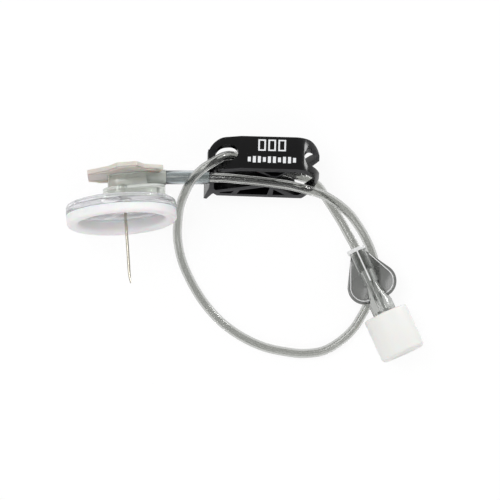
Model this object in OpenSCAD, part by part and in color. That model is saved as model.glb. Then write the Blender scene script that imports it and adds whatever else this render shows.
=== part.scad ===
// Huber needle infusion set with a sliding safety base, laid on its side on a table.
// Units are millimetres. X runs along the tubing where it leaves the hub and Z points up from the table.
// The origin is on the table, under the middle of the needle, its base and the sleeve.

/* [Base disc and comfort pad] */
// Radius of the clear base disc and of the pad under it
disc_r = 13.75; // [12.5:0.25:15.5]
// Height of the disc at its rim
disc_h = 2; // [1.8:0.1:2.6]
// Radius of the rounded upper edge of the disc
disc_edge_r = 1; // [0.5:0.1:1.2]
// Thickness of the floor of the disc inside its rim
floor_t = 1.1; // [0.9:0.1:1.4]
// Width of the raised rim of the disc
rim_w = 2.4; // [1.6:0.1:3]
// Radial width of the soft pad ring
pad_w = 2.95; // [2.8:0.05:4]
// Thickness of the soft pad ring
pad_t = 4.1; // [3:0.1:4.5]

/* [Safety housing] */
// How far the front of the housing is let into the rim of the disc (below zero is a gap)
rim_bite = 0.05; // [-1.3:0.05:0.3]
// Length of the housing behind the needle
housing_back = 4.2; // [3:0.1:6]
// Width of the housing
housing_w = 8.8; // [7:0.2:11]
// Height of the top of the housing above the underside of the disc
housing_top = 5.4; // [5.2:0.1:5.5]
// Wall of the housing
housing_wall = 0.8; // [0.6:0.1:1]
// Radius of the hole that lets the needle through the base
pass_r = 0.95; // [0.8:0.05:1.2]

/* [Needle] */
// Outer radius of the needle tube
needle_r = 0.36; // [0.25:0.01:0.45]
// Radius of the bore of the needle
needle_bore_r = 0.21; // [0.1:0.01:0.22]
// Reach of the needle below the underside of the disc
needle_reach = 18.5; // [16:0.5:24]
// Radius of the right-angle bend inside the hub
needle_bend_r = 1.6; // [1.2:0.1:2]
// Length of the curved tip
tip_len = 3.1; // [2.4:0.1:3.6]
// Radius of the curve of the tip
tip_curve_r = 12; // [10:0.5:16]

/* [Hub and wings] */
// Radius of the round end of the hub
hub_r = 2.9; // [2.4:0.1:3.2]
// Gap between the housing and the hub above it
hub_gap = 0.3; // [0.2:0.05:0.5]
// Height of the top of the hub above the underside of the disc
hub_top = 8.9; // [8.7:0.1:9.3]
// Length of the hub body along the tubing
hub_len = 7; // [5:0.5:8]
// Height of the tubing port at the needle above the underside of the disc
port_z = 8.3; // [8.1:0.1:8.6]
// Downward slope of the tubing port in degrees
port_droop = 4; // [0:1:5]
// Radius of the barrel of the port
barrel_r = 1.95; // [1.8:0.05:2.2]
// Distance from the needle to the end of the barrel
barrel_len = 11.8; // [10.5:0.1:12.5]
// Half of the span of the wings
wing_half = 12.1; // [11.5:0.1:12.6]
// Thickness of the wings
wing_t = 1; // [0.8:0.1:1.4]
// Thickness of the saddle that joins the wings over the hub
saddle_t = 0.8; // [0.6:0.1:1.2]
// Number of finger ribs under each wing
wing_ribs = 4; // [2:1:5]

/* [Tubing] */
// Outer radius of the extension tube
tube_r = 1.15; // [0.9:0.05:1.2]
// Outer radius of the sleeve over the tube
sleeve_r = 1.75; // [1.6:0.05:1.9]
// Radius of the bore of the sleeve and of the socket in the port
sleeve_bore_r = 1.3; // [1.22:0.02:1.4]
// Length of the sleeve
sleeve_len = 10.8; // [8:0.1:12]

/* [Pinch clamp] */
// Width of the clamp strap
clamp_w = 9.6; // [8.5:0.1:11]
// Thickness of the upper leg and of the bend
strap_t = 1.4; // [1:0.1:1.8]
// Outer radius of the bend between the two legs
bend_r = 6.3; // [6:0.1:6.5]
// Length of the upper leg from the bend to its free end
leg_len = 21.7; // [20.5:0.1:23]
// Width of the tubing slot in the upper leg
slot_w = 5; // [4.6:0.1:5.2]
// Width of the tubing slot in the bend
bend_slot_w = 5.2; // [4.8:0.1:5.8]
// Depth of the pockets in each side of the legs
pocket_d = 3.6; // [2:0.1:4]

/* [Luer connector and cap] */
// Radius of the tubing socket of the connector
socket_r = 2.15; // [1.9:0.05:2.4]
// Length of the tubing socket
socket_len = 9.5; // [8:0.5:11]
// Outer radius of the luer barrel
luer_r = 3; // [2.8:0.1:3.4]
// Outer radius across the locking lugs
lug_r = 3.9; // [3.6:0.1:4.2]
// Length of the whole connector
connector_len = 26; // [24.5:0.5:27]
// Radius of the luer bore at its mouth
luer_bore_r = 2.15; // [2.1:0.05:2.2]
// Reach of the finger lobes from the axis
lobe_reach = 6.3; // [5:0.1:7.5]
// Thickness of the finger lobes
lobe_t = 0.9; // [0.7:0.1:1.3]
// Outer radius of the cap
cap_r = 5.7; // [5:0.1:6]
// Length of the cap
cap_len = 11.3; // [10.5:0.1:12]
// Wall of the skirt of the cap
cap_wall = 1.3; // [0.8:0.1:1.4]

/* [Hidden] */
$fn = 48;
eps = 0.01;
fit = 0.05;
slip = 0.1;

// Needle set: the needle is the local Z axis, and the underside of the disc is at zero height.
roll = 4;
wing_root_x = [-7.7, 11.4];
wing_tip_x = [0, 4.9];
wing_root_y = 5;
wing_mid_y = 8.4;
wing_z = 8.7;
wing_top = wing_z + wing_t;
// The set leans until the rounded edge of the disc and the tip of a wing both touch the table.
housing_front = disc_r - rim_w + rim_bite;
edge_r_mid = disc_r - disc_edge_r;
edge_z_mid = disc_h - disc_edge_r;
lean_a = edge_r_mid - wing_half;
lean_c = wing_top - edge_z_mid;
lean = atan2(lean_a, lean_c) + asin(disc_edge_r / norm([lean_a, lean_c]));
needle_x = 1;
needle_drop = needle_x * tan(port_droop);
tip_below = (needle_reach + needle_drop) * cos(roll) * cos(lean) - needle_x * sin(roll);
grip_above = wing_tip_x[1] * sin(roll) + (wing_half * sin(lean) + wing_top * cos(lean)) * cos(roll);
sleeve_end = barrel_len + sleeve_len;
port_height_at_end = port_z - sleeve_end * sin(port_droop);
sleeve_right = sleeve_end * cos(port_droop) * cos(roll) - port_height_at_end * sin(roll) * cos(lean);
disc_left = disc_r * sqrt(1 - pow(sin(roll) * cos(lean), 2));
set_x = (disc_left - sleeve_right) / 2;
set_y = (tip_below - grip_above) / 2;
set_z = edge_r_mid * cos(lean) + edge_z_mid * sin(lean) + disc_edge_r;

hub_z = housing_top + hub_gap;
saddle_w = hub_r + saddle_t;
hinge_w = 0.8;
hinge_d = 0.45;
rib_w = 0.6;
rib_h = 0.3;
wing_corner_r = 0.9;
bend_z = port_z - needle_bend_r * (1 + sin(port_droop)) * tan(port_droop) - needle_bend_r * cos(port_droop);
tip_angle = tip_len / tip_curve_r * 180 / PI;
straight_len = needle_reach - tip_curve_r * sin(tip_angle);
needle_leg = 5.2;
tube_start = 6.5;

// Pinch clamp: local X is its length, local Z its height and zero height is the tubing.
clamp_at = [31.15, 14.4, 9.35];
clamp_turn = -1.5;
clamp_roll = 33;
clamp_top = 5.4;
clamp_h = 13;
clamp_base = clamp_top - clamp_h;
bend_x = 8;
bend_z0 = clamp_top - bend_r;
bend_end = bend_x + bend_r;
leg_end = bend_x - leg_len;
leg_drop = 2.2;
jaw_gap = 3;
nose_w = 4.4;
clamp_corner_r = 3.3;
clamp_end_r = 4.5;
low_end_r = 0.4;
heel_r = 1.7;
heel_angle = 35;
foot_x = 10.4;
foot_r = 0.6;
slot_from = -11.9;
slot_to = -6.2;
web_rib = 1;

// Luer connector: local X is its axis, from the rim at the tubing towards the cap.
luer_at = [54.4, -6.55, 4.3];
luer_turn = -65.6;
luer_tilt = 4.5;
rim_len = 0.9;
rim_extra = 0.3;
flare_from = 10;
flare_to = 15;
neck_r = 1.5;
lug_len = 1;
lobe_x = 9.9;
lobe_r = 4.2;
rib_t = 0.4;
rib_out = 0.2;
bead_w = 0.7;
bead_h = 0.25;
socket_depth = 6.2;
channel_r = 0.75;
luer_bore_len = 9;
taper = 0.03;
cap_from = 17.8;
cap_end_t = 1.6;
plug_len = 6;

// Centre line of the extension tube, from the hub to the luer connector.
route = concat(
  [for (reach = [tube_start, 11, 16, sleeve_end - 1]) port_point(reach)],
  [
    [21.8, 11, 12.8], [26, 10.6, 13], [30, 10.2, 13.1], [34, 9.7, 13], [38, 9.1, 12.4],
    [42, 8.1, 11.3], [46, 6.9, 8.6], [49.5, 4.9, 6.2], [52.6, 2.3, 4.1], [54.8, -0.5, 2.7],
    [56.9, -4, 1.7], [58.6, -8, 1.2], [59.4, -12, 1.2], [59, -16, 1.2], [57.9, -19.5, 1.2],
    [56.2, -23, 1.2], [53.6, -27, 1.2], [50, -30.2, 1.2], [46, -32.3, 1.2], [41, -32.9, 1.2],
    [36, -32.3, 1.2], [32, -31.4, 1.2], [28, -29.8, 1.2], [24, -27.5, 1.2], [20, -24.3, 1.2],
    [16, -19.6, 1.2], [12.7, -14, 1.2], [10.7, -9, 1.5], [9.8, -4, 2.9], [9.9, 0, 5.6],
    [10.4, 3.6, 9.1], [11.5, 6.8, 12.8], [13.3, 10.2, 15.5], [16, 13.1, 16.9], [18.6, 14.8, 16.9],
    [20.9, 16.1, 15.7], [22.6, 16.6, 13.6], [24.2, 16.5, 11.5], [27, 15.8, 10], [30, 14.9, 9.4],
    [33, 13.9, 9.2], [36.7, 12.7, 8], [39.7, 11.7, 6.5], [42.6, 10.6, 5], [45, 9, 4.1],
    [47, 6.1, 3.4], [49.2, 2.7, 3.3], [50.9, -0.1, 3.5], [53, -3.9, 4],
    [54.4, -6.5, 4.3], [56.8, -11.9, 4.8]
  ]
);
tube_rings = 80;
tube_sides = 8;

function unit(v) = v / norm(v);
function mix(a, b, t) = a * (1 - t) + b * t;

// A point of the needle set in table coordinates, and a point along its tubing port.
function set_point(x, y, z) =
  let (across = z * cos(lean) - y * sin(lean))
  [
    set_x + x * cos(roll) - across * sin(roll),
    set_y + x * sin(roll) + across * cos(roll),
    set_z - y * cos(lean) - z * sin(lean)
  ];
function port_point(s) = set_point(s * cos(port_droop), 0, port_z - s * sin(port_droop));

// Smooth curve through the route: Catmull-Rom, with the ends of the list doubled.
function knot(i) = route[max(0, min(len(route) - 1, i))];
function curve_piece(a, b, c, d, t) =
  0.5 * (2 * b + (c - a) * t + (2 * a - 5 * b + 4 * c - d) * t * t + (3 * b - a - 3 * c + d) * t * t * t);
function on_route(u) =
  let (i = min(floor(u), len(route) - 2))
  curve_piece(knot(i - 1), knot(i), knot(i + 1), knot(i + 2), u - i);
function ring_at(u, r) =
  let (step = 0.05)
  let (ahead = unit(on_route(min(u + step, len(route) - 1)) - on_route(max(u - step, 0))))
  let (side = unit(cross([0, 0, 1], ahead)))
  let (up = cross(ahead, side))
  [for (k = [0 : tube_sides - 1]) on_route(u) + r * (side * cos(k * 360 / tube_sides) + up * sin(k * 360 / tube_sides))];

module needle_frame() {
  translate([set_x, set_y, set_z])
    rotate([0, 0, roll])
      rotate([-(90 + lean), 0, 0])
        children();
}

module port_frame() {
  needle_frame()
    translate([0, 0, port_z])
      rotate([0, port_droop, 0])
        children();
}

module clamp_frame() {
  translate(clamp_at)
    rotate([0, 0, clamp_turn])
      rotate([-clamp_roll, 0, 0])
        children();
}

module luer_frame() {
  translate(luer_at)
    rotate([0, 0, luer_turn])
      rotate([0, -luer_tilt, 0])
        children();
}

// A rod along X between two places.
module rod_x(x_from, x_to, r) {
  translate([x_from, 0, 0])
    rotate([0, 90, 0])
      cylinder(h = x_to - x_from, r = r);
}

// A turned solid about X from its half profile of [x, r] points.
module turned_x(profile) {
  rotate([0, 90, 0])
    rotate_extrude()
      polygon([for (p = profile) [p[1], p[0]]]);
}

// A bar with round ends, standing on zero height.
module round_bar(x_from, x_to, w, h) {
  translate([x_from + w / 2, -w / 2, 0])
    cube([x_to - x_from - w, w, h]);
  for (x = [x_from + w / 2, x_to - w / 2])
    translate([x, 0, 0])
      cylinder(h = h, d = w);
}

// Clear disc that lies on the skin: a thin floor, a raised rim with a round edge and a needle hole.
module base_plate() {
  color([0.86, 0.9, 0.92, 0.45])
    needle_frame()
      difference() {
        rotate_extrude($fn = 72)
          difference() {
            union() {
              square([disc_r, disc_h - disc_edge_r]);
              square([disc_r - disc_edge_r, disc_h]);
              translate([edge_r_mid, edge_z_mid])
                circle(disc_edge_r, $fn = 20);
            }
            translate([-eps, floor_t])
              square([disc_r - rim_w + eps, disc_h]);
          }
        translate([needle_x, 0, -eps])
          cylinder(h = floor_t + 2 * eps, r = pass_r);
      }
}

// Clear cover on the disc. The needle runs down through it and the lock clip waits inside.
module safety_housing() {
  cavity_h = housing_top - housing_wall - floor_t;
  step_back = 2;
  step_in = 1.5;
  step_h = 2.2;
  color([0.86, 0.9, 0.92, 0.45])
    needle_frame()
      difference() {
        union() {
          translate([0, 0, floor_t])
            round_bar(-housing_back, housing_front, housing_w, housing_top - floor_t);
          translate([0, 0, floor_t])
            round_bar(
              -housing_back - step_back, housing_front - step_back, housing_w - 2 * step_in, step_h
            );
        }
        translate([0, 0, floor_t - eps])
          round_bar(
            -housing_back + housing_wall, housing_front - 2 * housing_wall,
            housing_w - 2 * housing_wall, cavity_h + eps
          );
        translate([needle_x, 0, floor_t])
          cylinder(h = housing_top, r = pass_r);
      }
}

// Sprung steel leaf beside the needle. Its lip closes over the tip once the base has slid down.
module lock_clip() {
  leaf_t = 0.2;
  leaf_w = 3;
  foot_back = 3.8;
  foot_x = housing_front - foot_back;
  lip_x = needle_x + needle_r + 2 * slip;
  top_z = housing_top - housing_wall - 0.5;
  foot_z = floor_t + 0.02;
  color("silver")
    needle_frame()
      rotate([90, 0, 0])
        linear_extrude(height = leaf_w, center = true)
          polygon([
            [3, foot_z], [foot_x, foot_z], [foot_x, foot_z + 1.6], [lip_x + 1.4, top_z],
            [lip_x, top_z], [lip_x, top_z - leaf_t], [lip_x + 1.3, top_z - leaf_t],
            [foot_x - leaf_t, foot_z + 1.5], [foot_x - leaf_t, foot_z + leaf_t], [3, foot_z + leaf_t]
          ]);
}

// Soft ring under the disc, with round outer and inner edges and a flat face for the skin.
module comfort_pad() {
  outer_round = 0.9;
  inner_round = 1.4;
  color([0.95, 0.96, 0.96])
    needle_frame()
      rotate_extrude($fn = 72)
        translate([disc_r - pad_w, -pad_t])
          union() {
            translate([inner_round, 0])
              square([pad_w - inner_round - outer_round, pad_t]);
            translate([0, inner_round])
              square([pad_w - outer_round + eps, pad_t - inner_round]);
            translate([inner_round, outer_round])
              square([pad_w - inner_round, pad_t - outer_round]);
            translate([inner_round, inner_round])
              circle(inner_round, $fn = 24);
            translate([pad_w - outer_round, outer_round])
              circle(outer_round, $fn = 20);
          }
}

// Steel tube: a leg in the port, the bend, the straight shaft and a curved tip ground along the shaft.
module needle() {
  color([0.78, 0.75, 0.7])
    needle_place()
      difference() {
        needle_rod(needle_r);
        needle_rod(needle_bore_r);
        // The grind leaves the point on the back of the curve and the opening on its side.
        translate([needle_r - 0.03, -2, -needle_reach - 2])
          cube([4, 4, needle_reach - straight_len + 3]);
      }
}

// The needle stands a little ahead of the middle of the disc, and its bend meets the sloping port.
module needle_place() {
  needle_frame()
    translate([needle_x, 0, -needle_drop])
      children();
}

// Drawn about the centre of the bend.
module needle_rod(r) {
  $fn = 20;
  over = r < needle_r ? eps : 0;
  shaft = straight_len + bend_z;
  translate([needle_bend_r, 0, bend_z]) {
    translate([-needle_bend_r, 0, -shaft])
      cylinder(h = shaft, r = r);
    rotate([90, 0, 0])
      rotate_extrude(angle = 90 + port_droop, start = 90 - port_droop)
        translate([needle_bend_r, 0])
          circle(r);
    rotate([0, port_droop, 0])
      translate([0, 0, needle_bend_r])
        rod_x(0, needle_leg - needle_bend_r + over, r);
    translate([tip_curve_r - needle_bend_r, 0, -shaft])
      rotate([90, 0, 0])
        rotate_extrude(angle = tip_angle + over, start = 180)
          translate([tip_curve_r, 0])
            circle(r);
  }
}

// Clear hub that holds the needle and takes the end of the tube in its barrel.
module needle_hub() {
  color([0.84, 0.88, 0.88, 0.5])
    difference() {
      union() {
        needle_frame()
          translate([0, 0, hub_z])
            linear_extrude(height = hub_top - hub_z)
              union() {
                circle(hub_r);
                translate([0, -hub_r])
                  square([hub_len, 2 * hub_r]);
              }
        port_frame()
          rod_x(hub_len - 2, barrel_len, barrel_r);
      }
      port_frame()
        rod_x(tube_start - 0.3, barrel_len + eps, sleeve_bore_r);
      port_frame()
        rod_x(needle_x + needle_bend_r, tube_start, needle_r + fit);
      needle_place()
        translate([0, 0, hub_z - 1])
          cylinder(h = port_z - hub_z + 1, r = needle_r + fit);
      needle_place()
        translate([-needle_r - 2 * fit, -needle_r - 2 * fit, bend_z - 0.2])
          cube([needle_bend_r + 1, 2 * (needle_r + 2 * fit), port_z - bend_z + needle_r + 4 * fit]);
    }
}

module wing_outline() {
  left = wing_root_x[0];
  right = wing_root_x[1];
  offset(r = wing_corner_r, $fn = 24)
    offset(delta = -wing_corner_r)
      polygon([
        [left, -wing_root_y], [-2.4, -wing_mid_y], [wing_tip_x[0], -wing_half], [wing_tip_x[1], -wing_half],
        [6.4, -wing_mid_y], [right, -wing_root_y], [right - 1.4, 0], [right, wing_root_y],
        [6.4, wing_mid_y], [wing_tip_x[1], wing_half], [wing_tip_x[0], wing_half],
        [-2.4, wing_mid_y], [left, wing_root_y]
      ]);
}

// One soft moulding: two ribbed wings and the saddle over the hub, thinned along both fold lines.
module wing_grip() {
  color([0.8, 0.79, 0.74, 0.8])
    difference() {
      union() {
        needle_frame()
          translate([0, 0, wing_z])
            linear_extrude(height = wing_t)
              wing_outline();
        needle_frame()
          intersection() {
            finger_ribs();
            translate([0, 0, wing_z - rib_h])
              linear_extrude(height = wing_t)
                offset(delta = -0.6)
                  wing_outline();
          }
        needle_frame()
          translate([0, 0, wing_z])
            linear_extrude(height = hub_top + saddle_t - wing_z)
              union() {
                circle(saddle_w);
                translate([0, -saddle_w])
                  square([hub_len + 1.4, 2 * saddle_w]);
              }
      }
      needle_frame()
        translate([0, 0, wing_z - 1])
          linear_extrude(height = hub_top + fit - wing_z + 1)
            union() {
              circle(hub_r + fit);
              translate([0, -hub_r - fit])
                square([hub_len + fit, 2 * (hub_r + fit)]);
            }
      port_frame()
        rod_x(0, barrel_len + 2, barrel_r + fit);
      needle_frame()
        for (side = [-1, 1])
          translate([wing_root_x[0] - 1, side * (saddle_w + hinge_w / 2) - hinge_w / 2, wing_z - eps])
            cube([wing_root_x[1] - wing_root_x[0] + 2, hinge_w, hinge_d]);
    }
}

module finger_ribs() {
  pitch = (wing_half - wing_root_y - 2) / (wing_ribs - 1);
  for (side = [-1, 1], i = [0 : wing_ribs - 1])
    translate([wing_root_x[0], side * (wing_root_y + 1 + i * pitch) - rib_w / 2, wing_z - rib_h])
      cube([wing_root_x[1] - wing_root_x[0], rib_w, rib_h + 0.2]);
}

// Clear sleeve that keeps the tube from kinking where it leaves the barrel.
module tubing_sleeve() {
  color([0.75, 0.78, 0.78, 0.5])
    port_frame()
      difference() {
        rod_x(barrel_len, sleeve_end, sleeve_r);
        rod_x(barrel_len - eps, sleeve_end + eps, sleeve_bore_r);
      }
}

// Flexible tube swept along its route.
module extension_tube() {
  last = len(route) - 1;
  rings = [for (i = [0 : tube_rings - 1]) ring_at(i * last / (tube_rings - 1), tube_r)];
  points = [for (ring = rings, p = ring) p];
  n = tube_sides;
  walls = [
    for (i = [0 : tube_rings - 2], k = [0 : n - 1])
      let (a = i * n + k, b = i * n + (k + 1) % n)
      each [[a, b, b + n], [a, b + n, a + n]]
  ];
  first_cap = [for (k = [n - 1 : -1 : 0]) k];
  last_cap = [for (k = [0 : n - 1]) (tube_rings - 1) * n + k];
  color([0.6, 0.61, 0.57, 0.6])
    polyhedron(points, [for (f = concat(walls, [first_cap, last_cap])) [f[0], each [for (j = [len(f) - 1 : -1 : 1]) f[j]]]]);
}

// Side profile of the clamp: bend, upper leg with its jaw, lower leg with its jaw, and the latch post.
module clamp_bend_2d() {
  inner_r = bend_r - strap_t;
  heel_x = bend_end - heel_r;
  heel_in = max(heel_r - strap_t, 0.1);
  from_x = bend_x - 1;
  polygon(concat(
    [for (a = [90 : -3 : 0]) [bend_x + bend_r * cos(a), bend_z0 + bend_r * sin(a)]],
    [for (a = [7 : 7 : heel_angle]) [heel_x + heel_r * cos(a), bend_z0 - heel_r * sin(a)]],
    [[foot_x, clamp_base + foot_r], [foot_x - foot_r, clamp_base], [from_x, clamp_base]],
    [[from_x, clamp_base + strap_t], [foot_x - strap_t, clamp_base + strap_t]],
    [for (a = [heel_angle : -7 : 7]) [heel_x + heel_in * cos(a), bend_z0 - heel_in * sin(a)]],
    [for (a = [0 : 3 : 90]) [bend_x + inner_r * cos(a), bend_z0 + inner_r * sin(a)]]
  ));
}

module upper_leg_2d() {
  inner = clamp_top - strap_t;
  end_top = clamp_top - leg_drop;
  polygon([
    [bend_x + eps, clamp_top], [-5.5, clamp_top], [-10.5, clamp_top - 0.9], [leg_end, end_top],
    [leg_end, end_top - 0.8], [-10.8, inner - 1], [-5.5, inner], [bend_x + eps, inner]
  ]);
  polygon([[-1.6, inner + eps], [2.5, jaw_gap / 2 - 0.2], [3.5, jaw_gap / 2 - 0.2], [7, inner + eps]]);
}

module lower_leg_2d() {
  polygon([
    [bend_x + eps, clamp_base], [-11.3, clamp_base + 0.3], [-12.2, clamp_base + 1.2], [-11.6, -4.9],
    [0.2, -jaw_gap / 2 - 0.2], [1.8, -jaw_gap / 2 - 0.2], [bend_x + eps, clamp_base + strap_t]
  ]);
  polygon([
    [-11.6, -4.9], [-12.1, -4.2], [-12.1, -1.1], [-13.7, -1.1], [-13.7, -1.9], [-13.2, -2.3],
    [-13.3, -4], [-14.4, -7.9], [-13.9, -8], [-12.2, clamp_base + 1.2]
  ]);
}

// Moulded in one piece: the two legs meet in the bend and the free ends latch together when pressed.
module pinch_clamp() {
  color([0.06, 0.06, 0.07])
    clamp_frame()
      difference() {
        union() {
          intersection() {
            clamp_prism()
              union() {
                clamp_bend_2d();
                upper_leg_2d();
                lower_leg_2d();
              }
            clamp_corners();
          }
          latch_toe();
          latch_nose();
        }
        translate([0, 0, 1])
          round_bar(slot_from, slot_to, slot_w, 6);
        round_bar(bend_x + 2.3, bend_end + 6, bend_slot_w, 6);
        translate([0, 0, clamp_base - 1])
          round_bar(bend_x, bend_end + 6, bend_slot_w, 1.5 - clamp_base);
        for (side = [-1, 1])
          clamp_pockets(side);
      }
}

module clamp_prism() {
  rotate([90, 0, 0])
    linear_extrude(height = clamp_w, center = true)
      children();
}

// Rounds the bend and the free end of the upper leg as seen on the upper face.
module clamp_corners() {
  linear_extrude(height = 20)
    clamp_plan(leg_end, clamp_end_r);
  translate([0, 0, -20])
    linear_extrude(height = 20)
      clamp_plan(leg_end - 2, low_end_r);
}

module clamp_plan(end_x, end_r) {
  x0 = end_x + end_r;
  x1 = bend_end - clamp_corner_r;
  w0 = clamp_w / 2 - end_r;
  w1 = clamp_w / 2 - clamp_corner_r;
  translate([end_x, -w0])
    square([end_r + 1, 2 * w0]);
  translate([x0, -clamp_w / 2])
    square([x1 - x0, clamp_w]);
  translate([x1 - 1, -w1])
    square([clamp_corner_r + 1, 2 * w1]);
  for (side = [-1, 1]) {
    translate([x0, side * w0])
      circle(end_r);
    translate([x1, side * w1])
      circle(clamp_corner_r);
  }
}

// The latch post is pressed here to let the clamp spring open.
module latch_toe() {
  translate([0, -0.6, 0])
    rotate([90, 0, 0])
      linear_extrude(height = clamp_w / 2 - 0.7)
        polygon([[-13.4, -5], [-14.6, -8.9], [-13.9, -9.1], [-12.2, clamp_base + 1.3], [-11.9, -5]]);
}

// Hooked tongue under the free end of the upper leg.
module latch_nose() {
  end_top = clamp_top - leg_drop;
  rotate([90, 0, 0])
    linear_extrude(height = nose_w, center = true)
      polygon([
        [leg_end, end_top - 0.4], [leg_end - 0.2, 1.2], [leg_end + 0.9, 1], [leg_end + 0.9, 1.6],
        [leg_end + 0.6, end_top - strap_t + 0.1], [leg_end + 2, end_top - 0.4]
      ]);
}

// Pockets that lighten the legs and leave slanting ribs between them.
module clamp_pockets(side) {
  floor_y = side * (clamp_w / 2 - pocket_d / 2 + eps);
  translate([0, floor_y, 0])
    rotate([90, 0, 0])
      linear_extrude(height = pocket_d + 2 * eps, center = true)
        union() {
          polygon([[0, 3.9], [5.6, 3.9], [3.6, 2.1], [2.2, 2.1]]);
          polygon([[-6.4, -6.4], [-5.6, -4.7], [0.6, -3], [1.9, -3.2], [1.2, -6.4]]);
          polygon([[2.6, -6.4], [2.8, -3.9], [5.8, -6.4]]);
          polygon([[-10.6, -6.2], [-10.6, -5.8], [-7, -5], [-7.8, -6.2]]);
        }
}

module lobe_outline(grow) {
  for (side = [-1, 1])
    hull() {
      translate([lobe_x, side * (lobe_reach - lobe_r)])
        circle(lobe_r + grow, $fn = 48);
      translate([rim_len + 1, side * (socket_r - 0.6)])
        circle(0.6 + grow, $fn = 24);
    }
}

// Clear female connector: tubing socket, finger lobes, flared neck and luer barrel with two lugs.
module luer_connector() {
  barrel_end = connector_len;
  color([0.55, 0.57, 0.55, 0.6])
    luer_frame()
      difference() {
        union() {
          turned_x([
            [0, 0], [0, socket_r + rim_extra], [rim_len, socket_r + rim_extra], [rim_len, socket_r],
            [socket_len, socket_r - 0.1], [socket_len, neck_r + 0.3], [flare_from, neck_r],
            [flare_to, luer_r], [barrel_end, luer_r], [barrel_end, 0]
          ]);
          translate([rim_len / 2, -rib_t / 2, -socket_r - rib_out])
            cube([socket_len - rim_len, rib_t, 2 * (socket_r + rib_out)]);
          translate([0, 0, -lobe_t / 2])
            linear_extrude(height = lobe_t)
              lobe_outline(0);
          translate([0, 0, -lobe_t / 2 - bead_h])
            linear_extrude(height = lobe_t + 2 * bead_h)
              difference() {
                lobe_outline(0);
                lobe_outline(-bead_w);
              }
          translate([barrel_end - lug_len, 0, 0])
            intersection() {
              rod_x(0, lug_len, lug_r);
              translate([-1, -lug_r, -1.5])
                cube([lug_len + 2, 2 * lug_r, 3]);
            }
        }
        rod_x(-eps, socket_depth, sleeve_bore_r);
        rod_x(0, barrel_end, channel_r);
        turned_x([
          [barrel_end - luer_bore_len, 0],
          [barrel_end - luer_bore_len, luer_bore_r - taper * luer_bore_len],
          [barrel_end + eps, luer_bore_r], [barrel_end + eps, 0]
        ]);
      }
}

// White cap: a skirt round the lugs and a tapered plug that closes the luer bore.
module luer_cap() {
  end_x = cap_from + cap_len;
  inner_x = end_x - cap_end_t;
  plug_from = inner_x - plug_len;
  plug_gap = slip;
  plug_r = luer_bore_r - plug_gap;
  edge = 0.6;
  color([0.93, 0.93, 0.93])
    luer_frame()
      difference() {
        turned_x([
          [cap_from, 0], [cap_from, cap_r - 0.3], [cap_from + 0.3, cap_r], [end_x - edge, cap_r],
          [end_x, cap_r - edge], [end_x, 3.4], [end_x - 0.4, 3.2], [end_x - 0.4, 0]
        ]);
        difference() {
          rod_x(cap_from - eps, inner_x, cap_r - cap_wall);
          turned_x([
            [plug_from, 0], [plug_from, plug_r - taper * (connector_len - plug_from)],
            [connector_len, plug_r], [inner_x + 1, plug_r], [inner_x + 1, 0]
          ]);
        }
      }
}

base_plate();
safety_housing();
lock_clip();
comfort_pad();
needle();
needle_hub();
wing_grip();
tubing_sleeve();
extension_tube();
pinch_clamp();
luer_connector();
luer_cap();
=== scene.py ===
"""Looks of a huber needle infusion set, laid on its side on a white table and seen from above.

Lengths are metres in the frame of the CAD model: X along the tubing port, Z up from the table.
"""

import math

import bpy
from bpy.props import FloatProperty, FloatVectorProperty, PointerProperty
from mathutils import Matrix, Vector


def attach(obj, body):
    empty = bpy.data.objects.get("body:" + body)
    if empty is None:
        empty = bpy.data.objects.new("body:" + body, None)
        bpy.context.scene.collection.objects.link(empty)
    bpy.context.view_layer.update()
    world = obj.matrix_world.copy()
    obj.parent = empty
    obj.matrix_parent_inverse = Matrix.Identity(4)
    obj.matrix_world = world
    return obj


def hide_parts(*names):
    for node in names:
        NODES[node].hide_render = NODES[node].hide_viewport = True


bl_info = {
    "name": "Huber needle infusion set",
    "version": (1, 0, 0),
    "blender": (4, 5, 0),
    "location": "View3D > Sidebar > Infusion set",
    "description": "Builds the visible pieces of a huber needle infusion set on its CAD model",
    "category": "Object",
}

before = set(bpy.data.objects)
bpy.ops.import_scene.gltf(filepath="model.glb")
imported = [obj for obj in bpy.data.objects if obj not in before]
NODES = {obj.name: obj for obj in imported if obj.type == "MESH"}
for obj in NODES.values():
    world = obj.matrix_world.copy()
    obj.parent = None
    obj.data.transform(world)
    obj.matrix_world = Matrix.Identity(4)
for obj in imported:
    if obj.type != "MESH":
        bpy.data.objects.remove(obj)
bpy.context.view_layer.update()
MM = 0.001

# Points closer than this are one point, and flat faces that meet at less than this angle are one face.
MERGE = 0.001 * MM
FLAT_ANGLE = 0.8

# Placement of the needle set, the clamp and the luer connector in the frame, as in the CAD source.
SET_FRAME = (
    Matrix.Translation(Vector((-4.15586, 3.00267, 13.7102)) * MM)
    @ Matrix.Rotation(math.radians(4), 4, "Z")
    @ Matrix.Rotation(math.radians(-100.8547), 4, "X")
)
CLAMP_FRAME = (
    Matrix.Translation(Vector((31.15, 14.4, 9.35)) * MM)
    @ Matrix.Rotation(math.radians(-1.5), 4, "Z")
    @ Matrix.Rotation(math.radians(-33), 4, "X")
)
LUER_FRAME = (
    Matrix.Translation(Vector((54.4, -6.55, 4.3)) * MM)
    @ Matrix.Rotation(math.radians(-65.6), 4, "Z")
    @ Matrix.Rotation(math.radians(-4.5), 4, "Y")
)

# The disc and the pad under it. The disc's underside is the plane z = 0 of the set's own frame.
DISC_R = 13.75 * MM
UNDERSIDE_BAND = 0.02 * MM
PAD_HOLE_R = 10.8 * MM
PAD_GAP = 0.02 * MM
# The pad's depth grows by this share towards the side that it lies on, and shrinks towards the other.
PAD_WEDGE = 0.16
RING_STEPS = 120
ARC_STEPS = 8

# The clamp, in its own frame: the height of its printed face, and where its strap begins to bend.
CLAMP_TOP = 5.4 * MM
BEND_FROM = 10.2 * MM
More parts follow.
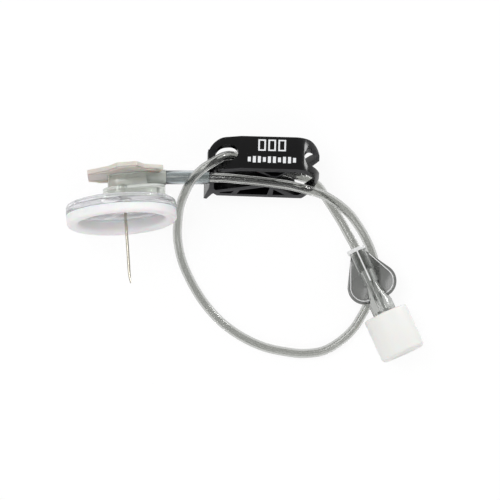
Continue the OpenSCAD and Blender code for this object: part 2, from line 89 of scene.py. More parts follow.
# A face whose normal lies this much along the clamp's width is one of its sides.
SIDE_FACING = 0.97

# The marks on the clamp's face, in millimetres of its own frame: a row of open boxes over a row of bars.
BOX_COUNT, BOX_START, BOX_PITCH, BOX_ROW = 3, -0.3, 2.5, 2.2
BOX_WIDTH, BOX_HEIGHT, BOX_STROKE = 1.9, 3.4, 0.4
BAR_COUNT, BAR_START, BAR_PITCH, BAR_ROW = 10, -3.4, 1.25, -2.1
BAR_WIDTH, BAR_HEIGHT, BAR_SHORT_HEIGHT, BAR_SHORT_EVERY = 0.75, 1.9, 1.4, 3

# The finger lobes of the connector, in millimetres of its own frame, and the fillet inside their border,
# which carries a painted highlight.
LOBE_MIDDLE = (9.9, 2.1)
LOBE_INNER_R = 3.4
LOBE_ROOT = (2.6, 2.5)
LOBE_ARC = (115, -10)
LOBE_ARC_STEPS = 25
LOBE_FILLET_Z = 0.6
LOBE_FILLET_R = 0.16

# Where the painted light of the connector lies, in millimetres of its own frame: painted highlight on the
# collar round the tube, the step down from a lobe's border and the ridges above and below the barrel, and
# painted shade on the lobes beside the barrel.
COLLAR_END = 1.0
LOBES_END, LOBES_FROM_SIDE, LOBES_HALF_THICK = 16.0, 2.35, 1.0
STEP_FROM_Z, STEP_TO_Z, STEP_NORMAL = 0.46, 0.69, 0.9
RIDGE_END, RIDGE_HALF_WIDTH, RIDGE_FROM_Z = 9.4, 0.3, 2.2
# Material slots of the connector: painted shade on the lobes, and painted highlight lines.
LOBE_SHADE_SLOT, HIGHLIGHT_SLOT = 1, 2

# Where the tube leaves the sleeve, and its centre line from the hub to the connector.
TUBE_ROUTE = [
    (1.77, 11.14, 12.23), (6.27, 11.15, 12.29), (11.27, 11.15, 12.36), (16.87, 11.16, 12.43),
    (21.8, 11, 12.8), (26, 10.6, 13), (30, 10.2, 13.1), (34, 9.7, 13), (38, 9.1, 12.4),
    (42, 8.1, 11.3), (46, 6.9, 8.6), (49.5, 4.9, 6.2), (52.6, 2.3, 4.1), (54.8, -0.5, 2.7),
    (56.9, -4, 1.7), (58.6, -8, 1.2), (59.4, -12, 1.2), (59, -16, 1.2), (57.9, -19.5, 1.2),
    (56.2, -23, 1.2), (53.6, -27, 1.2), (50, -30.2, 1.2), (46, -32.3, 1.2), (41, -32.9, 1.2),
    (36, -32.3, 1.2), (32, -31.4, 1.2), (28, -29.8, 1.2), (24, -27.5, 1.2), (20, -24.3, 1.2),
    (16, -19.6, 1.2), (12.7, -14, 1.2), (10.7, -9, 1.5), (9.8, -4, 2.9), (9.9, 0, 5.6),
    (10.4, 3.6, 9.1), (11.5, 6.8, 12.8), (13.3, 10.2, 15.5), (16, 13.1, 16.9), (18.6, 14.8, 16.9),
    (20.9, 16.1, 15.7), (22.6, 16.6, 13.6), (24.2, 16.5, 11.5), (27, 15.8, 10), (30, 14.9, 9.4),
    (33, 13.9, 9.2), (36.7, 12.7, 8), (39.7, 11.7, 6.5), (42.6, 10.6, 5), (45, 9, 4.1),
    (47, 6.1, 3.4), (49.2, 2.7, 3.3), (50.9, -0.1, 3.5), (53, -3.9, 4), (54.4, -6.5, 4.3),
    (56.8, -11.9, 4.8),
]
# The line between two points of the route is a smooth curve in this many steps.
STEPS_PER_PIECE = 8
# How finely a round wall is made round, as Blender counts it for the bevel of a curve.
WALL_ROUNDNESS = 8

# How noise is stretched: along Y, which is nearly the way the needle points, or along X, the way
# the wings reach.
FLOW_LINES = (1, 0.35, 1)
DRAW_LINES = (1, 0.06, 1)
FOLD_LINES = (0.35, 1, 1)
# Noise seldom leaves this range.
NOISE_LOW, NOISE_HIGH = 0.3, 0.7

# The picture is 125 mm from side to side at a height a little above the table, as in the photo.
VIEW_MIDDLE = Vector((27.95, -6.95, 0)) * MM
VIEW_WIDTH = 125 * MM
VIEW_HEIGHT = 6 * MM
CAMERA_HEIGHT = 2.0
CAMERA_REACH = 10.0
SENSOR_MM = 36
TABLE_SIZE = 1.6
TABLE_DROP = 0.02 * MM
# How white the table shows itself, and how brightly the world lights the pieces and is seen.
TABLE_GLOW = 0.9
WORLD_LIGHT, WORLD_SEEN = 0.6, 1.0
# Name, place from the middle of the view and width in metres, and power in watts.
LAMPS = (
    ("key", (-0.35, 0.25, 0.85), 0.5, 3.6),
    ("side", (0.56, 0.57, 0.12), 0.2, 2.0),
    ("fill", (0.1, -0.6, 0.7), 0.6, 1.6),
)


def to_linear(value):
    """A #RRGGBB colour as linear RGBA."""
    parts = [int(value[i : i + 2], 16) / 255 for i in (1, 3, 5)]
    return tuple(c / 12.92 if c <= 0.04045 else ((c + 0.055) / 1.055) ** 2.4 for c in parts) + (1.0,)


def colour_prop(name, description, value):
    return FloatVectorProperty(
        name=name, description=description, subtype="COLOR", size=4, min=0, max=1, default=to_linear(value)
    )


def size_prop(name, description, value):
    return FloatProperty(name=name, description=description, default=value, min=0, unit="LENGTH", precision=5)


class SetSizes(bpy.types.PropertyGroup):
    """Sizes of the details that the CAD model leaves out."""

    edge: size_prop("Moulded edge", "Radius on the edges of the disc and the housing", 0.16 * MM)
    thin_edge: size_prop("Thin edge", "Radius on the edges of hub, sleeve and connector", 0.112 * MM)
    cap_edge: size_prop("Cap edge", "Radius on the edges of the cap", 0.24 * MM)
    soft_edge: size_prop("Soft edge", "Radius on the edges of the wings", 0.18 * MM)
    clamp_edge: size_prop("Clamp edge", "Radius on the edges of the clamp", 0.28 * MM)
    tube_radius: size_prop("Tube radius", "Outer radius of the extension tube", 1.15 * MM)
    tube_bore: size_prop("Tube bore", "Radius of the bore of the extension tube", 0.68 * MM)
    print_proud: size_prop("Print height", "How far the printed marks stand off the clamp", 0.02 * MM)
    disc_skirt: size_prop("Disc skirt", "How far the disc reaches down over the pad", 0.7 * MM)
    pad_wall: size_prop("Pad wall", "Depth of the straight wall of the hole in the pad", 2.3 * MM)
    pad_depth: size_prop("Pad depth", "Depth of the lowest ring of the pad", 3.45 * MM)
    pad_lip: size_prop("Pad lip", "Width of the soft lip round the hole in the pad", 1.6 * MM)
    pad_edge: size_prop("Pad edge", "Radius on the outer edge of the pad", 0.9 * MM)


class SetColours(bpy.types.PropertyGroup):
    """Colours of the pieces."""

    clear: colour_prop("Clear plastic", "Disc", "#F6F6F9")
    cover: colour_prop("Cover plastic", "Housing and hub", "#F0F4EE")
    pad: colour_prop("Pad", "Soft pad ring", "#F7F7F9")
    wings: colour_prop("Wings", "Soft grey wings", "#E9E7DF")
    tube: colour_prop("Tube", "Flexible tube", "#C5C6C3")
    sleeve: colour_prop("Sleeve", "Sleeve where the tube leaves the hub", "#D2D8DA")
    clamp: colour_prop("Clamp", "Black moulding", "#070708")
    luer: colour_prop("Connector", "Luer connector", "#B9BBB8")
    # Painted highlight: near-white that stands in for the light caught by the connector's edges, steps,
    # ridges, collar and lobe fillets.
    edge: colour_prop("Bright edge", "Edges of the connector that catch the light", "#F2F3F3")
    cap: colour_prop("Cap", "Luer cap", "#E4E4E1")
    steel: colour_prop("Steel", "Needle and lock clip", "#B4AFA3")
    marks: colour_prop("Print", "Marks printed on the clamp", "#E6E8EA")


def add_node(tree, kind, links=(), **values):
    """Adds a shader node with its settings and its links, which are pairs of an input and an output.

    Inputs that are set by name have underscores for spaces.
    """
    made = tree.nodes.new(kind)
    for key, value in values.items():
        if hasattr(made, key):
            setattr(made, key, value)
        else:
            made.inputs[key.replace("_", " ")].default_value = value
    for socket, source in links:
        tree.links.new(source, made.inputs[socket])
    return made


def shader_of(material):
    return material.node_tree.nodes["Principled BSDF"]


def new_material(name, colour, **sockets):
    """A principled material whose uniform values sit on the sockets."""
    material = bpy.data.materials.new(name)
    material.use_nodes = True
    shader = shader_of(material)
    shader.inputs["Base Color"].default_value = tuple(colour)
    for key, value in sockets.items():
        shader.inputs[key.replace("_", " ")].default_value = value
    return material


def object_noise(material, width_mm, detail=2.0, stretch=(1, 1, 1)):
    """Noise on object coordinates whose features are about width_mm wide."""
    tree = material.node_tree
    place = add_node(tree, "ShaderNodeTexCoord")
    mapping = add_node(
        tree, "ShaderNodeMapping", links=[("Vector", place.outputs["Object"])], Scale=stretch
    )
    return add_node(
        tree, "ShaderNodeTexNoise", links=[("Vector", mapping.outputs["Vector"])],
        Scale=1 / (width_mm * MM), Detail=detail,
    )


def bump_from(material, noise, height_mm, strength=1.0):
    """Lets the noise raise and sink the surface by about height_mm."""
    tree = material.node_tree
    bump = add_node(
        tree, "ShaderNodeBump", links=[("Height", noise.outputs["Fac"])],
        Strength=strength, Distance=height_mm * MM,
    )
    tree.links.new(bump.outputs["Normal"], shader_of(material).inputs["Normal"])


def vary(material, noise, socket, low, high):
    """Lets the noise drive a number socket between low and high."""
    tree = material.node_tree
    span = add_node(
        tree, "ShaderNodeMapRange", links=[("Value", noise.outputs["Fac"])],
        From_Min=NOISE_LOW, From_Max=NOISE_HIGH, To_Min=low, To_Max=high,
    )
    tree.links.new(span.outputs["Result"], shader_of(material).inputs[socket])


def tint(material, noise, low, high):
    """Lets the noise mix two colours into the base colour."""
    tree = material.node_tree
    mix = add_node(tree, "ShaderNodeMix", links=[("Factor", noise.outputs["Fac"])], data_type="RGBA")
    for letter, colour in (("A", low), ("B", high)):
        socket = [s for s in mix.inputs if s.name == letter and s.type == "RGBA"][0]
        socket.default_value = colour
    mixed = [s for s in mix.outputs if s.type == "RGBA"][0]
    tree.links.new(mixed, shader_of(material).inputs["Base Color"])


def scaled(colour, times):
    """The colour with its light multiplied, up to white."""
    return tuple(min(1, c * times) for c in colour[:3]) + (1.0,)


def only(piece):
    """Selects one object and makes it active."""
    bpy.ops.object.select_all(action="DESELECT")
    piece.select_set(True)
    bpy.context.view_layer.objects.active = piece


def join_into(whole, part):
    """Joins the part into the whole, which keeps its name."""
    only(whole)
    part.select_set(True)
    bpy.ops.object.join()


def copy_of(node, name):
    """A copy of a CAD node's mesh as an object of its own, with its flat faces joined."""
    piece = bpy.data.objects.new(name, NODES[node].data.copy())
    bpy.context.scene.collection.objects.link(piece)
    piece.data.transform(NODES[node].matrix_world)
    piece.data.materials.clear()
    only(piece)
    bpy.ops.object.mode_set(mode="EDIT")
    bpy.ops.mesh.select_all(action="SELECT")
    bpy.ops.mesh.remove_doubles(threshold=MERGE)
    bpy.ops.mesh.dissolve_limited(angle_limit=math.radians(FLAT_ANGLE))
    bpy.ops.object.mode_set(mode="OBJECT")
    return piece


def smooth_by(piece, angle):
    """Smooths the shading where faces meet at less than this angle, in degrees."""
    only(piece)
    bpy.ops.object.shade_smooth_by_angle(angle=math.radians(angle))


def round_edges(piece, width, segments=3, angle=32, smooth=35):
    """Rounds the edges that are sharper than the angle and smooths what is left between them."""
    only(piece)
    bevel = piece.modifiers.new("edges", "BEVEL")
    bevel.width = width
    bevel.segments = segments
    bevel.limit_method = "ANGLE"
    bevel.angle_limit = math.radians(angle)
    bevel.use_clamp_overlap = True
    bevel.harden_normals = False
    bpy.ops.object.modifier_apply(modifier=bevel.name)
    smooth_by(piece, smooth)


def dress(piece, *materials):
    """Gives the piece its materials, in the order of its slots."""
    for material in materials:
        piece.data.materials.append(material)


def curve_point(points, i, t):
    """Catmull-Rom between points i and i + 1."""
    a, b, c, d = (points[max(0, min(len(points) - 1, k))] for k in (i - 1, i, i + 1, i + 2))
    slope = c - a
    bend = 2 * a - 5 * b + 4 * c - d
    twist = 3 * b - a - 3 * c + d
    return 0.5 * (2 * b + slope * t + bend * t * t + twist * t**3)


def tube_line():
    """The tube's centre line as close points."""
    points = [Vector(p) * MM for p in TUBE_ROUTE]
    line = []
    for i in range(len(points) - 1):
        line += [curve_point(points, i, k / STEPS_PER_PIECE) for k in range(STEPS_PER_PIECE)]
    return line + [points[-1]]


def round_wall(line, radius, name):
    """A round wall of that radius along the line, as a mesh."""
    curve = bpy.data.curves.new(name, "CURVE")
    curve.dimensions = "3D"
    curve.bevel_depth = radius
    curve.bevel_resolution = WALL_ROUNDNESS
    curve.twist_mode = "MINIMUM"
    spline = curve.splines.new("POLY")
    spline.points.add(len(line) - 1)
    for point, place in zip(spline.points, line):
        point.co = (*place, 1)
    wall = bpy.data.objects.new(name, curve)
    bpy.context.scene.collection.objects.link(wall)
    only(wall)
    bpy.ops.object.convert(target="MESH")
    return bpy.context.view_layer.objects.active


def arc(middle, half_axes, start, end, count):
    """Points of an elliptic arc in a plane, as pairs. Angles are in degrees."""
    turns = [math.radians(start + (end - start) * i / count) for i in range(count + 1)]
    return [(middle[0] + half_axes[0] * math.cos(a), middle[1] + half_axes[1] * math.sin(a)) for a in turns]


def spun(name, profile):
    """A closed profile of (radius, height) pairs turned round the local Z axis."""
    mesh = bpy.data.meshes.new(name)
    last = len(profile) - 1
    mesh.from_pydata([(r, 0, z) for r, z in profile], [(i, i + 1) for i in range(last)] + [(last, 0)], [])
    piece = bpy.data.objects.new(name, mesh)
    bpy.context.scene.collection.objects.link(piece)
    only(piece)
    bpy.ops.object.mode_set(mode="EDIT")
    bpy.ops.mesh.select_all(action="SELECT")
    bpy.ops.mesh.spin(steps=RING_STEPS, angle=math.tau, center=(0, 0, 0), axis=(0, 0, 1))
    bpy.ops.mesh.select_all(action="SELECT")
    bpy.ops.mesh.remove_doubles(threshold=MERGE)
    bpy.ops.mesh.normals_make_consistent(inside=False)
    bpy.ops.object.mode_set(mode="OBJECT")
    return piece


def clear_plastic(name, colour, roughness, clarity=1.0, wave_width_mm=3.0, wave_mm=0.02):
    """Moulded or extruded clear plastic. The slight flow waves break up its reflections."""
    material = new_material(
        name, colour, Roughness=roughness, IOR=1.5, Transmission_Weight=clarity, Specular_IOR_Level=0.5
    )
    waves = object_noise(material, wave_width_mm, detail=2.0, stretch=FLOW_LINES)
    bump_from(material, waves, wave_mm, strength=0.6)
    return material


class SETPIECE_OT_base(bpy.types.Operator):
    """Clear disc and hollow housing, with their moulded edges"""

    bl_idname = "setpiece.base"
    bl_label = "Disc and housing"

    def execute(self, context):
        sizes, colours = context.scene.set_sizes, context.scene.set_colours
        # Moulded polycarbonate: clear, with just enough haze that it doesn't go black over the pad.
        disc = clear_plastic("polycarbonate_moulded_disc", colours.clear, roughness=0.08, clarity=0.9)
        # The housing is a second moulding, a little cloudier and greener.
        cover = clear_plastic("polycarbonate_moulded_cover", colours.cover, roughness=0.1, clarity=0.8)
        for node, clear in (("base_plate", disc), ("safety_housing", cover)):
            piece = copy_of(node, node + "_moulded")
            if node == "base_plate":
                self.reach_over_pad(piece, sizes.disc_skirt)
            round_edges(piece, sizes.edge)
            dress(piece, clear)
            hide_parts(node)
            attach(piece, "safety_base")
        return {"FINISHED"}

    def reach_over_pad(self, disc, depth):
        """Moves the disc's underside down, so that the disc reaches over the top of the pad."""
        to_set = SET_FRAME.inverted()
        set_up = SET_FRAME.col[2].to_3d()
        for vert in disc.data.vertices:
            if abs((to_set @ vert.co).z) < UNDERSIDE_BAND:
                vert.co -= depth * set_up


class SETPIECE_OT_pad(bpy.types.Operator):
    """Soft pad ring with a rounded lip and a fine skin"""

    bl_idname = "setpiece.pad"
    bl_label = "Comfort pad"

    def execute(self, context):
        colours = context.scene.set_colours
        # A soft moulded pad: light soaks in a little and the fine pores dull its shine.
        soft = new_material(
            "elastomer_moulded_white", colours.pad, Roughness=0.62, IOR=1.42,
            Subsurface_Weight=0.5, Subsurface_Scale=0.0012, Transmission_Weight=0.15,
        )
        bump_from(soft, object_noise(soft, 0.35, detail=4.0), 0.02, strength=0.5)
        vary(soft, object_noise(soft, 4.0), "Roughness", 0.5, 0.7)
        piece = self.soft_ring(context.scene.set_sizes)
        dress(piece, soft)
        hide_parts("comfort_pad")
        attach(piece, "safety_base")
        return {"FINISHED"}

    def soft_ring(self, sizes):
        """The ring with its soft lip, a little thicker on the side that it lies on."""
        top = -sizes.disc_skirt - PAD_GAP
        low, edge, lip = -sizes.pad_depth, sizes.pad_edge, sizes.pad_lip
        lip_drop = sizes.pad_depth - sizes.pad_wall
        profile = [(DISC_R, top), (PAD_HOLE_R, top)]
        profile += arc((PAD_HOLE_R + lip, -sizes.pad_wall), (lip, lip_drop), 180, 270, ARC_STEPS)
        profile += arc((DISC_R - edge, low + edge), (edge, edge), 270, 360, ARC_STEPS)
        piece = spun("comfort_pad_soft", profile)
        for vert in piece.data.vertices:
            vert.co.z = top + (vert.co.z - top) * (1 + PAD_WEDGE * vert.co.y / DISC_R)
        piece.data.transform(SET_FRAME)
        smooth_by(piece, 50)
        return piece


class SETPIECE_OT_steel(bpy.types.Operator):
    """Needle and lock clip in steel"""

    bl_idname = "setpiece.steel"
    bl_label = "Needle and clip"

    def execute(self, context):
        colours = context.scene.set_colours
        # Drawn tube: fine scratches run along it and stretch its highlights.
        drawn = new_material("stainless_drawn_tube", colours.steel, Metallic=1.0, Roughness=0.28)
        scratches = object_noise(drawn, 0.12, detail=3.0, stretch=DRAW_LINES)
        bump_from(drawn, scratches, 0.004, strength=0.5)
        vary(drawn, scratches, "Roughness", 0.2, 0.36)
        # Rolled strip: duller than the tube, in soft patches, and a paler copy of its steel, painted light
        # that lifts the clip out of the shade inside the housing.
        rolled = new_material(
            "spring_steel_rolled_strip_painted_light", scaled(colours.steel, 1.7), Metallic=1.0, Roughness=0.5
        )
        vary(rolled, object_noise(rolled, 1.5), "Roughness", 0.45, 0.6)
        for node, name, body, steel in (
            ("needle", "needle_drawn", "infusion_line", drawn),
            ("lock_clip", "lock_clip_rolled_painted_light", "safety_base", rolled),
        ):
            piece = copy_of(node, name)
            smooth_by(piece, 40)
            dress(piece, steel)
            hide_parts(node)
            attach(piece, body)
        return {"FINISHED"}


class SETPIECE_OT_hub(bpy.types.Operator):
    """Clear hub and tubing sleeve"""

    bl_idname = "setpiece.hub"
    bl_label = "Hub and sleeve"

    def execute(self, context):
        sizes, colours = context.scene.set_sizes, context.scene.set_colours
        # Moulded polycarbonate, cloudier still, because thick walls and the bore scatter the light.
        clear = clear_plastic("polycarbonate_moulded_hub", colours.cover, roughness=0.12, clarity=0.7)
        # Extruded vinyl: clear, with short waves from the die.
        vinyl = clear_plastic("vinyl_extruded_sleeve", colours.sleeve, roughness=0.16, wave_width_mm=1.2)
        for node, material in (("needle_hub", clear), ("tubing_sleeve", vinyl)):
            piece = copy_of(node, node + "_clear")
            round_edges(piece, sizes.thin_edge, segments=2)
            dress(piece, material)
            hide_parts(node)
            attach(piece, "infusion_line")
        return {"FINISHED"}


class SETPIECE_OT_wings(bpy.types.Operator):
    """Soft wings with rounded edges and slight folds"""

    bl_idname = "setpiece.wings"
    bl_label = "Wings"

    def execute(self, context):
        sizes, colours = context.scene.set_sizes, context.scene.set_colours
        # Soft translucent vinyl: milky depth, with faint darker clouds where it is thicker.
        vinyl = new_material(
            "vinyl_moulded_soft_grey", colours.wings, Roughness=0.38, IOR=1.48,
            Transmission_Weight=0.3, Subsurface_Weight=0.5, Subsurface_Scale=0.0015,
        )
        clouds = object_noise(vinyl, 5.0)
        tint(vinyl, clouds, scaled(colours.wings, 0.86), scaled(colours.wings, 1.1))
        bump_from(vinyl, object_noise(vinyl, 2.2, stretch=FOLD_LINES), 0.22, strength=0.8)
        piece = copy_of("wing_grip", "wing_grip_soft")
        round_edges(piece, sizes.soft_edge, angle=30, smooth=45)
        dress(piece, vinyl)
        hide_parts("wing_grip")
        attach(piece, "infusion_line")
        return {"FINISHED"}


class SETPIECE_OT_clamp(bpy.types.Operator):
    """Black clamp with rounded edges, and plain printed marks on its face"""

    bl_idname = "setpiece.clamp"
    bl_label = "Pinch clamp"

    def execute(self, context):
        sizes, colours = context.scene.set_sizes, context.scene.set_colours
        # Polished black moulding: a dark mirror with slight sink waves.
        gloss = new_material(
            "acetal_moulded_gloss_black", colours.clamp, Roughness=0.2, Specular_IOR_Level=0.22
        )
        bump_from(gloss, object_noise(gloss, 4.0, detail=1.0), 0.03, strength=0.5)
        vary(gloss, object_noise(gloss, 1.2, detail=3.0), "Roughness", 0.16, 0.28)
        # Sides of the moulding: matt, and a paler copy of the black, painted light that makes them read grey
        # beside the face.
        matt = new_material("acetal_moulded_matt_side_painted_light", scaled(colours.clamp, 9), Roughness=0.5)
        bump_from(matt, object_noise(matt, 0.25, detail=4.0), 0.02, strength=0.7)
        # The mould is polished where the strap bends, so the bend shines more than the face.
        bend = new_material(
            "acetal_moulded_polished_bend", colours.clamp, Roughness=0.16, Specular_IOR_Level=0.3
        )
        bump_from(bend, object_noise(bend, 3.0, detail=1.0), 0.02, strength=0.5)
        piece = copy_of("pinch_clamp", "pinch_clamp_gloss")
        round_edges(piece, sizes.clamp_edge, angle=35, smooth=40)
        dress(piece, gloss, matt, bend)
        self.share_out(piece, lit_side_slot=1, bend_slot=2)
        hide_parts("pinch_clamp")
        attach(piece, "infusion_line")
        marks = self.printed_marks(context)
        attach(marks, "infusion_line")
        return {"FINISHED"}

    def share_out(self, piece, lit_side_slot, bend_slot):
        """Gives the clamp's sides their paler, painted light material and its bend its own finish."""
        across = (CLAMP_FRAME.to_3x3() @ Vector((0, 1, 0))).normalized()
        to_clamp = CLAMP_FRAME.inverted()
        for face in piece.data.polygons:
            if abs(face.normal.dot(across)) > SIDE_FACING:
                face.material_index = lit_side_slot
            elif (to_clamp @ face.center).x > BEND_FROM:
                face.material_index = bend_slot

    def printed_marks(self, context):
        """Two rows of plain blocks where the face carries print: open boxes over bars."""
        colours = context.scene.set_colours
        # Pad-printed ink: flat white with thin spots.
        ink = new_material("ink_pad_printed_white", colours.marks, Roughness=0.5)
        tint(ink, object_noise(ink, 0.3, detail=4.0), scaled(colours.marks, 0.8), colours.marks)
        height = CLAMP_TOP + context.scene.set_sizes.print_proud
        marks = None
        for x, y, width, depth, stroke in self.blocks():
            bpy.ops.mesh.primitive_plane_add(size=1, location=(0, 0, 0))
            mark = bpy.context.object
            mark.data.transform(Matrix.Diagonal((width * MM, depth * MM, 1, 1)))
            mark.data.transform(Matrix.Translation((x * MM, y * MM, height)))
            if stroke:
                bpy.ops.object.mode_set(mode="EDIT")
                bpy.ops.mesh.select_all(action="SELECT")
                bpy.ops.mesh.inset(thickness=stroke * MM)
                bpy.ops.mesh.delete(type="FACE")
                bpy.ops.object.mode_set(mode="OBJECT")
            if marks is None:
                marks = mark
                marks.name = "clamp_marks"
            else:
                join_into(marks, mark)
        marks.data.transform(CLAMP_FRAME)
        dress(marks, ink)
        return marks

    def blocks(self):
        """Place, width, height and stroke of each block in millimetres. A stroke of 0 is a filled bar."""
        open_boxes = [
            (BOX_START + BOX_PITCH * i, BOX_ROW, BOX_WIDTH, BOX_HEIGHT, BOX_STROKE)
            for i in range(BOX_COUNT)
        ]
        heights = [BAR_HEIGHT if i % BAR_SHORT_EVERY else BAR_SHORT_HEIGHT for i in range(BAR_COUNT)]
        bars = [(BAR_START + BAR_PITCH * i, BAR_ROW, BAR_WIDTH, h, 0) for i, h in enumerate(heights)]
        return open_boxes + bars


class SETPIECE_OT_luer(bpy.types.Operator):
    """Clear grey connector and white cap"""

    bl_idname = "setpiece.luer"
    bl_label = "Connector and cap"

    def execute(self, context):
        self.connector(context)
        self.cap(context)
        return {"FINISHED"}

    def connector(self, context):
        """The connector, with painted highlight lines on its edges and fillets, and painted shade on its
        lobes.
        """
        sizes, colours = context.scene.set_sizes, context.scene.set_colours
        # Moulded ABS that reads grey on its own walls.
        smoky = clear_plastic("abs_moulded_smoky", colours.luer, roughness=0.14, wave_width_mm=2.0)
        # Painted shade: the flat lobes get a darker copy of the same plastic, for how they read as a darker
        # grey, seen edge on through more plastic.
        lobes = clear_plastic(
            "abs_moulded_smoky_lobe_painted_shade", scaled(colours.luer, 0.33), roughness=0.2, wave_width_mm=2.0
        )
        # Painted highlight: a near-white, partly clear plastic on the moulded edges and steps stands in for
        # the light lines they catch.
        painted_highlight = new_material(
            "abs_moulded_edge_painted_highlight", colours.edge, Roughness=0.3, Transmission_Weight=0.3, IOR=1.5
        )
        bump_from(painted_highlight, object_noise(painted_highlight, 0.4), 0.01, strength=0.5)
        piece = copy_of("luer_connector", "luer_connector_moulded")
        round_edges(piece, sizes.thin_edge, segments=2, angle=35)
        dress(piece, smoky, lobes, painted_highlight)
        self.share_out(piece)
        for side in (-1, 1):
            for face in (-1, 1):
                fillet = self.lobe_highlight_fillet(side, face)
                dress(fillet, painted_highlight)
                join_into(piece, fillet)
        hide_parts("luer_connector")
        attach(piece, "infusion_line")

    def cap(self, context):
        """The white cap on the connector's mouth."""
        sizes, colours = context.scene.set_sizes, context.scene.set_colours
        # Satin white moulding: soft sheen with a fine mould grain.
        white = new_material(
            "abs_moulded_satin_white", colours.cap, Roughness=0.42,
            Subsurface_Weight=0.2, Subsurface_Scale=0.0008,
        )
        bump_from(white, object_noise(white, 0.3, detail=3.0), 0.008, strength=0.5)
        vary(white, object_noise(white, 3.0), "Roughness", 0.36, 0.5)
        cap = copy_of("luer_cap", "luer_cap_satin")
        round_edges(cap, sizes.cap_edge)
        dress(cap, white)
        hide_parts("luer_cap")
        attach(cap, "cap")

    def lobe_highlight_fillet(self, side, face):
        """The round fillet along the inner edge of a lobe's raised border, on one face of the lobe, made to
        carry a painted highlight line.
        """
        border = arc(LOBE_MIDDLE, (LOBE_INNER_R, LOBE_INNER_R), *LOBE_ARC, LOBE_ARC_STEPS)
        height = face * LOBE_FILLET_Z
        line = [LUER_FRAME @ (Vector((x, side * y, height)) * MM) for x, y in (LOBE_ROOT, *border)]
        fillet = round_wall(line, LOBE_FILLET_R * MM, "lobe_highlight_fillet")
        bpy.ops.object.shade_smooth()
        fillet.data.materials.clear()
        return fillet

    def share_out(self, piece):
        """Gives each face of the connector the material of its place: body, painted shade on a lobe, or a
        painted highlight line.
        """
        to_local = LUER_FRAME.inverted()
        turn = to_local.to_3x3()
        for face in piece.data.polygons:
            x, y, z = to_local @ face.center / MM
            normal = turn @ face.normal
            beside_barrel = COLLAR_END < x < LOBES_END and abs(y) > LOBES_FROM_SIDE
            on_lobe = beside_barrel and abs(z) < LOBES_HALF_THICK
            on_step = on_lobe and STEP_FROM_Z < abs(z) < STEP_TO_Z and abs(normal.z) < STEP_NORMAL
            on_ridge = abs(y) < RIDGE_HALF_WIDTH and abs(z) > RIDGE_FROM_Z and x < RIDGE_END
            if on_step or on_ridge or x < COLLAR_END:
                face.material_index = HIGHLIGHT_SLOT
            elif on_lobe:
                face.material_index = LOBE_SHADE_SLOT


class SETPIECE_OT_tube(bpy.types.Operator):
    """Flexible tube with its bore, along the CAD route"""

    bl_idname = "setpiece.tube"
    bl_label = "Extension tube"

    def execute(self, context):
        sizes, colours = context.scene.set_sizes, context.scene.set_colours
        # Extruded vinyl: glossy and clear, with long, very shallow waves.
        vinyl = clear_plastic(
            "vinyl_extruded_tube", colours.tube, roughness=0.07, wave_width_mm=6.0, wave_mm=0.004
        )
        line = tube_line()
        outer = round_wall(line, sizes.tube_radius, "extension_tube_wall")
        inner = round_wall(line, sizes.tube_bore, "extension_tube_bore")
        inner.data.flip_normals()
        join_into(outer, inner)
        bpy.ops.object.shade_smooth()
        outer.data.materials.clear()
        dress(outer, vinyl)
        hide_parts("extension_tube")
        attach(outer, "infusion_line")
        return {"FINISHED"}


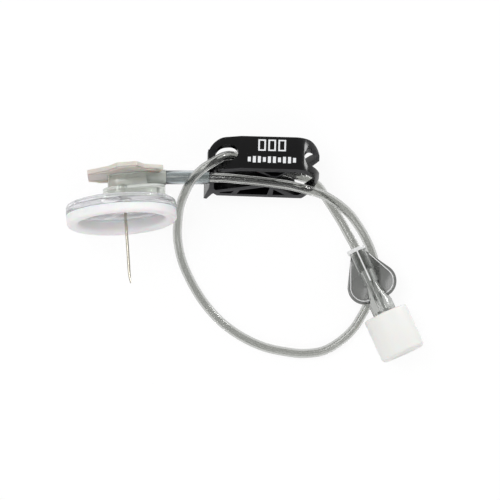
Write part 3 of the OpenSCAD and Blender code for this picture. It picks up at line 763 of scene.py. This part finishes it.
class SETPIECE_OT_stage(bpy.types.Operator):
    """White table, soft lamps and a camera that looks straight down"""

    bl_idname = "setpiece.stage"
    bl_label = "Stage"

    def execute(self, context):
        scene = context.scene
        bpy.ops.mesh.primitive_plane_add(size=TABLE_SIZE, location=VIEW_MIDDLE - Vector((0, 0, TABLE_DROP)))
        floor = bpy.context.object
        floor.name = "table"
        floor.data.materials.append(self.table_white())
        self.lamps(scene)
        self.world(scene)
        self.camera(scene)
        return {"FINISHED"}

    def table_white(self):
        """White paint that glows for what sees it straight, mirrored or through glass, and keeps shadows."""
        material = bpy.data.materials.new("table_white")
        material.use_nodes = True
        tree = material.node_tree
        tree.nodes.clear()
        paint = add_node(tree, "ShaderNodeBsdfDiffuse", Color=(1, 1, 1, 1))
        glow = add_node(tree, "ShaderNodeEmission", Color=(1, 1, 1, 1), Strength=1.0)
        ray = add_node(tree, "ShaderNodeLightPath").outputs
        straight_or_mirrored = add_node(
            tree, "ShaderNodeMath", links=[(0, ray["Is Camera Ray"]), (1, ray["Is Glossy Ray"])],
            operation="MAXIMUM",
        )
        seen = add_node(
            tree, "ShaderNodeMath",
            links=[(0, straight_or_mirrored.outputs[0]), (1, ray["Is Transmission Ray"])],
            operation="MAXIMUM",
        )
        share = add_node(tree, "ShaderNodeMath", links=[(0, seen.outputs[0])], operation="MULTIPLY")
        share.inputs[1].default_value = TABLE_GLOW
        mix = add_node(
            tree, "ShaderNodeMixShader",
            links=[(0, share.outputs[0]), (1, paint.outputs[0]), (2, glow.outputs[0])],
        )
        add_node(tree, "ShaderNodeOutputMaterial", links=[("Surface", mix.outputs[0])])
        return material

    def lamps(self, scene):
        """Square lamps that face the middle of the view."""
        for name, place, size, power in LAMPS:
            lamp = bpy.data.lights.new(name, "AREA")
            lamp.shape = "SQUARE"
            lamp.size = size
            lamp.energy = power
            holder = bpy.data.objects.new(name, lamp)
            scene.collection.objects.link(holder)
            holder.location = VIEW_MIDDLE + Vector(place)
            holder.rotation_euler = (-Vector(place)).to_track_quat("-Z", "Y").to_euler()

    def world(self, scene):
        """A white room that shows full white, and lights the pieces less."""
        world = bpy.data.worlds.new("studio")
        scene.world = world
        world.use_nodes = True
        tree = world.node_tree
        tree.nodes.clear()
        ray = add_node(tree, "ShaderNodeLightPath").outputs
        seen = add_node(
            tree, "ShaderNodeMath", links=[(0, ray["Is Camera Ray"]), (1, ray["Is Transmission Ray"])],
            operation="MAXIMUM",
        )
        level = add_node(
            tree, "ShaderNodeMapRange", links=[("Value", seen.outputs[0])],
            From_Min=0, From_Max=1, To_Min=WORLD_LIGHT, To_Max=WORLD_SEEN,
        )
        back = add_node(
            tree, "ShaderNodeBackground", links=[("Strength", level.outputs["Result"])], Color=(1, 1, 1, 1)
        )
        add_node(tree, "ShaderNodeOutputWorld", links=[("Surface", back.outputs[0])])

    def camera(self, scene):
        """The camera, high enough that the pieces hardly lean away from the middle of the view."""
        camera = bpy.data.cameras.new("camera")
        camera.sensor_width = SENSOR_MM
        camera.lens = SENSOR_MM * (CAMERA_HEIGHT - VIEW_HEIGHT) / VIEW_WIDTH
        camera.clip_end = CAMERA_REACH
        camera.dof.use_dof = False
        holder = bpy.data.objects.new("camera", camera)
        scene.collection.objects.link(holder)
        holder.location = VIEW_MIDDLE + Vector((0, 0, CAMERA_HEIGHT))
        scene.camera = holder


class SETPIECE_PT_panel(bpy.types.Panel):
    """Lists the sizes, colours and operators"""

    bl_idname = "SETPIECE_PT_panel"
    bl_label = "Infusion set"
    bl_space_type = "VIEW_3D"
    bl_region_type = "UI"
    bl_category = "Infusion set"

    def draw(self, context):
        for group in (context.scene.set_sizes, context.scene.set_colours):
            for key in group.__annotations__:
                self.layout.prop(group, key)
        for step in STEPS:
            self.layout.operator(step.bl_idname)


STEPS = (
    SETPIECE_OT_base,
    SETPIECE_OT_pad,
    SETPIECE_OT_steel,
    SETPIECE_OT_hub,
    SETPIECE_OT_wings,
    SETPIECE_OT_clamp,
    SETPIECE_OT_luer,
    SETPIECE_OT_tube,
    SETPIECE_OT_stage,
)
CLASSES = (SetSizes, SetColours, *STEPS, SETPIECE_PT_panel)


def register():
    for cls in CLASSES:
        bpy.utils.register_class(cls)
    bpy.types.Scene.set_sizes = PointerProperty(type=SetSizes)
    bpy.types.Scene.set_colours = PointerProperty(type=SetColours)


def unregister():
    del bpy.types.Scene.set_colours
    del bpy.types.Scene.set_sizes
    for cls in reversed(CLASSES):
        bpy.utils.unregister_class(cls)


def main():
    register()
    bpy.context.scene.view_settings.view_transform = "Standard"
    for step in STEPS:
        area, name = step.bl_idname.split(".")
        getattr(getattr(bpy.ops, area), name)()


if __name__ == "__main__":
    main()
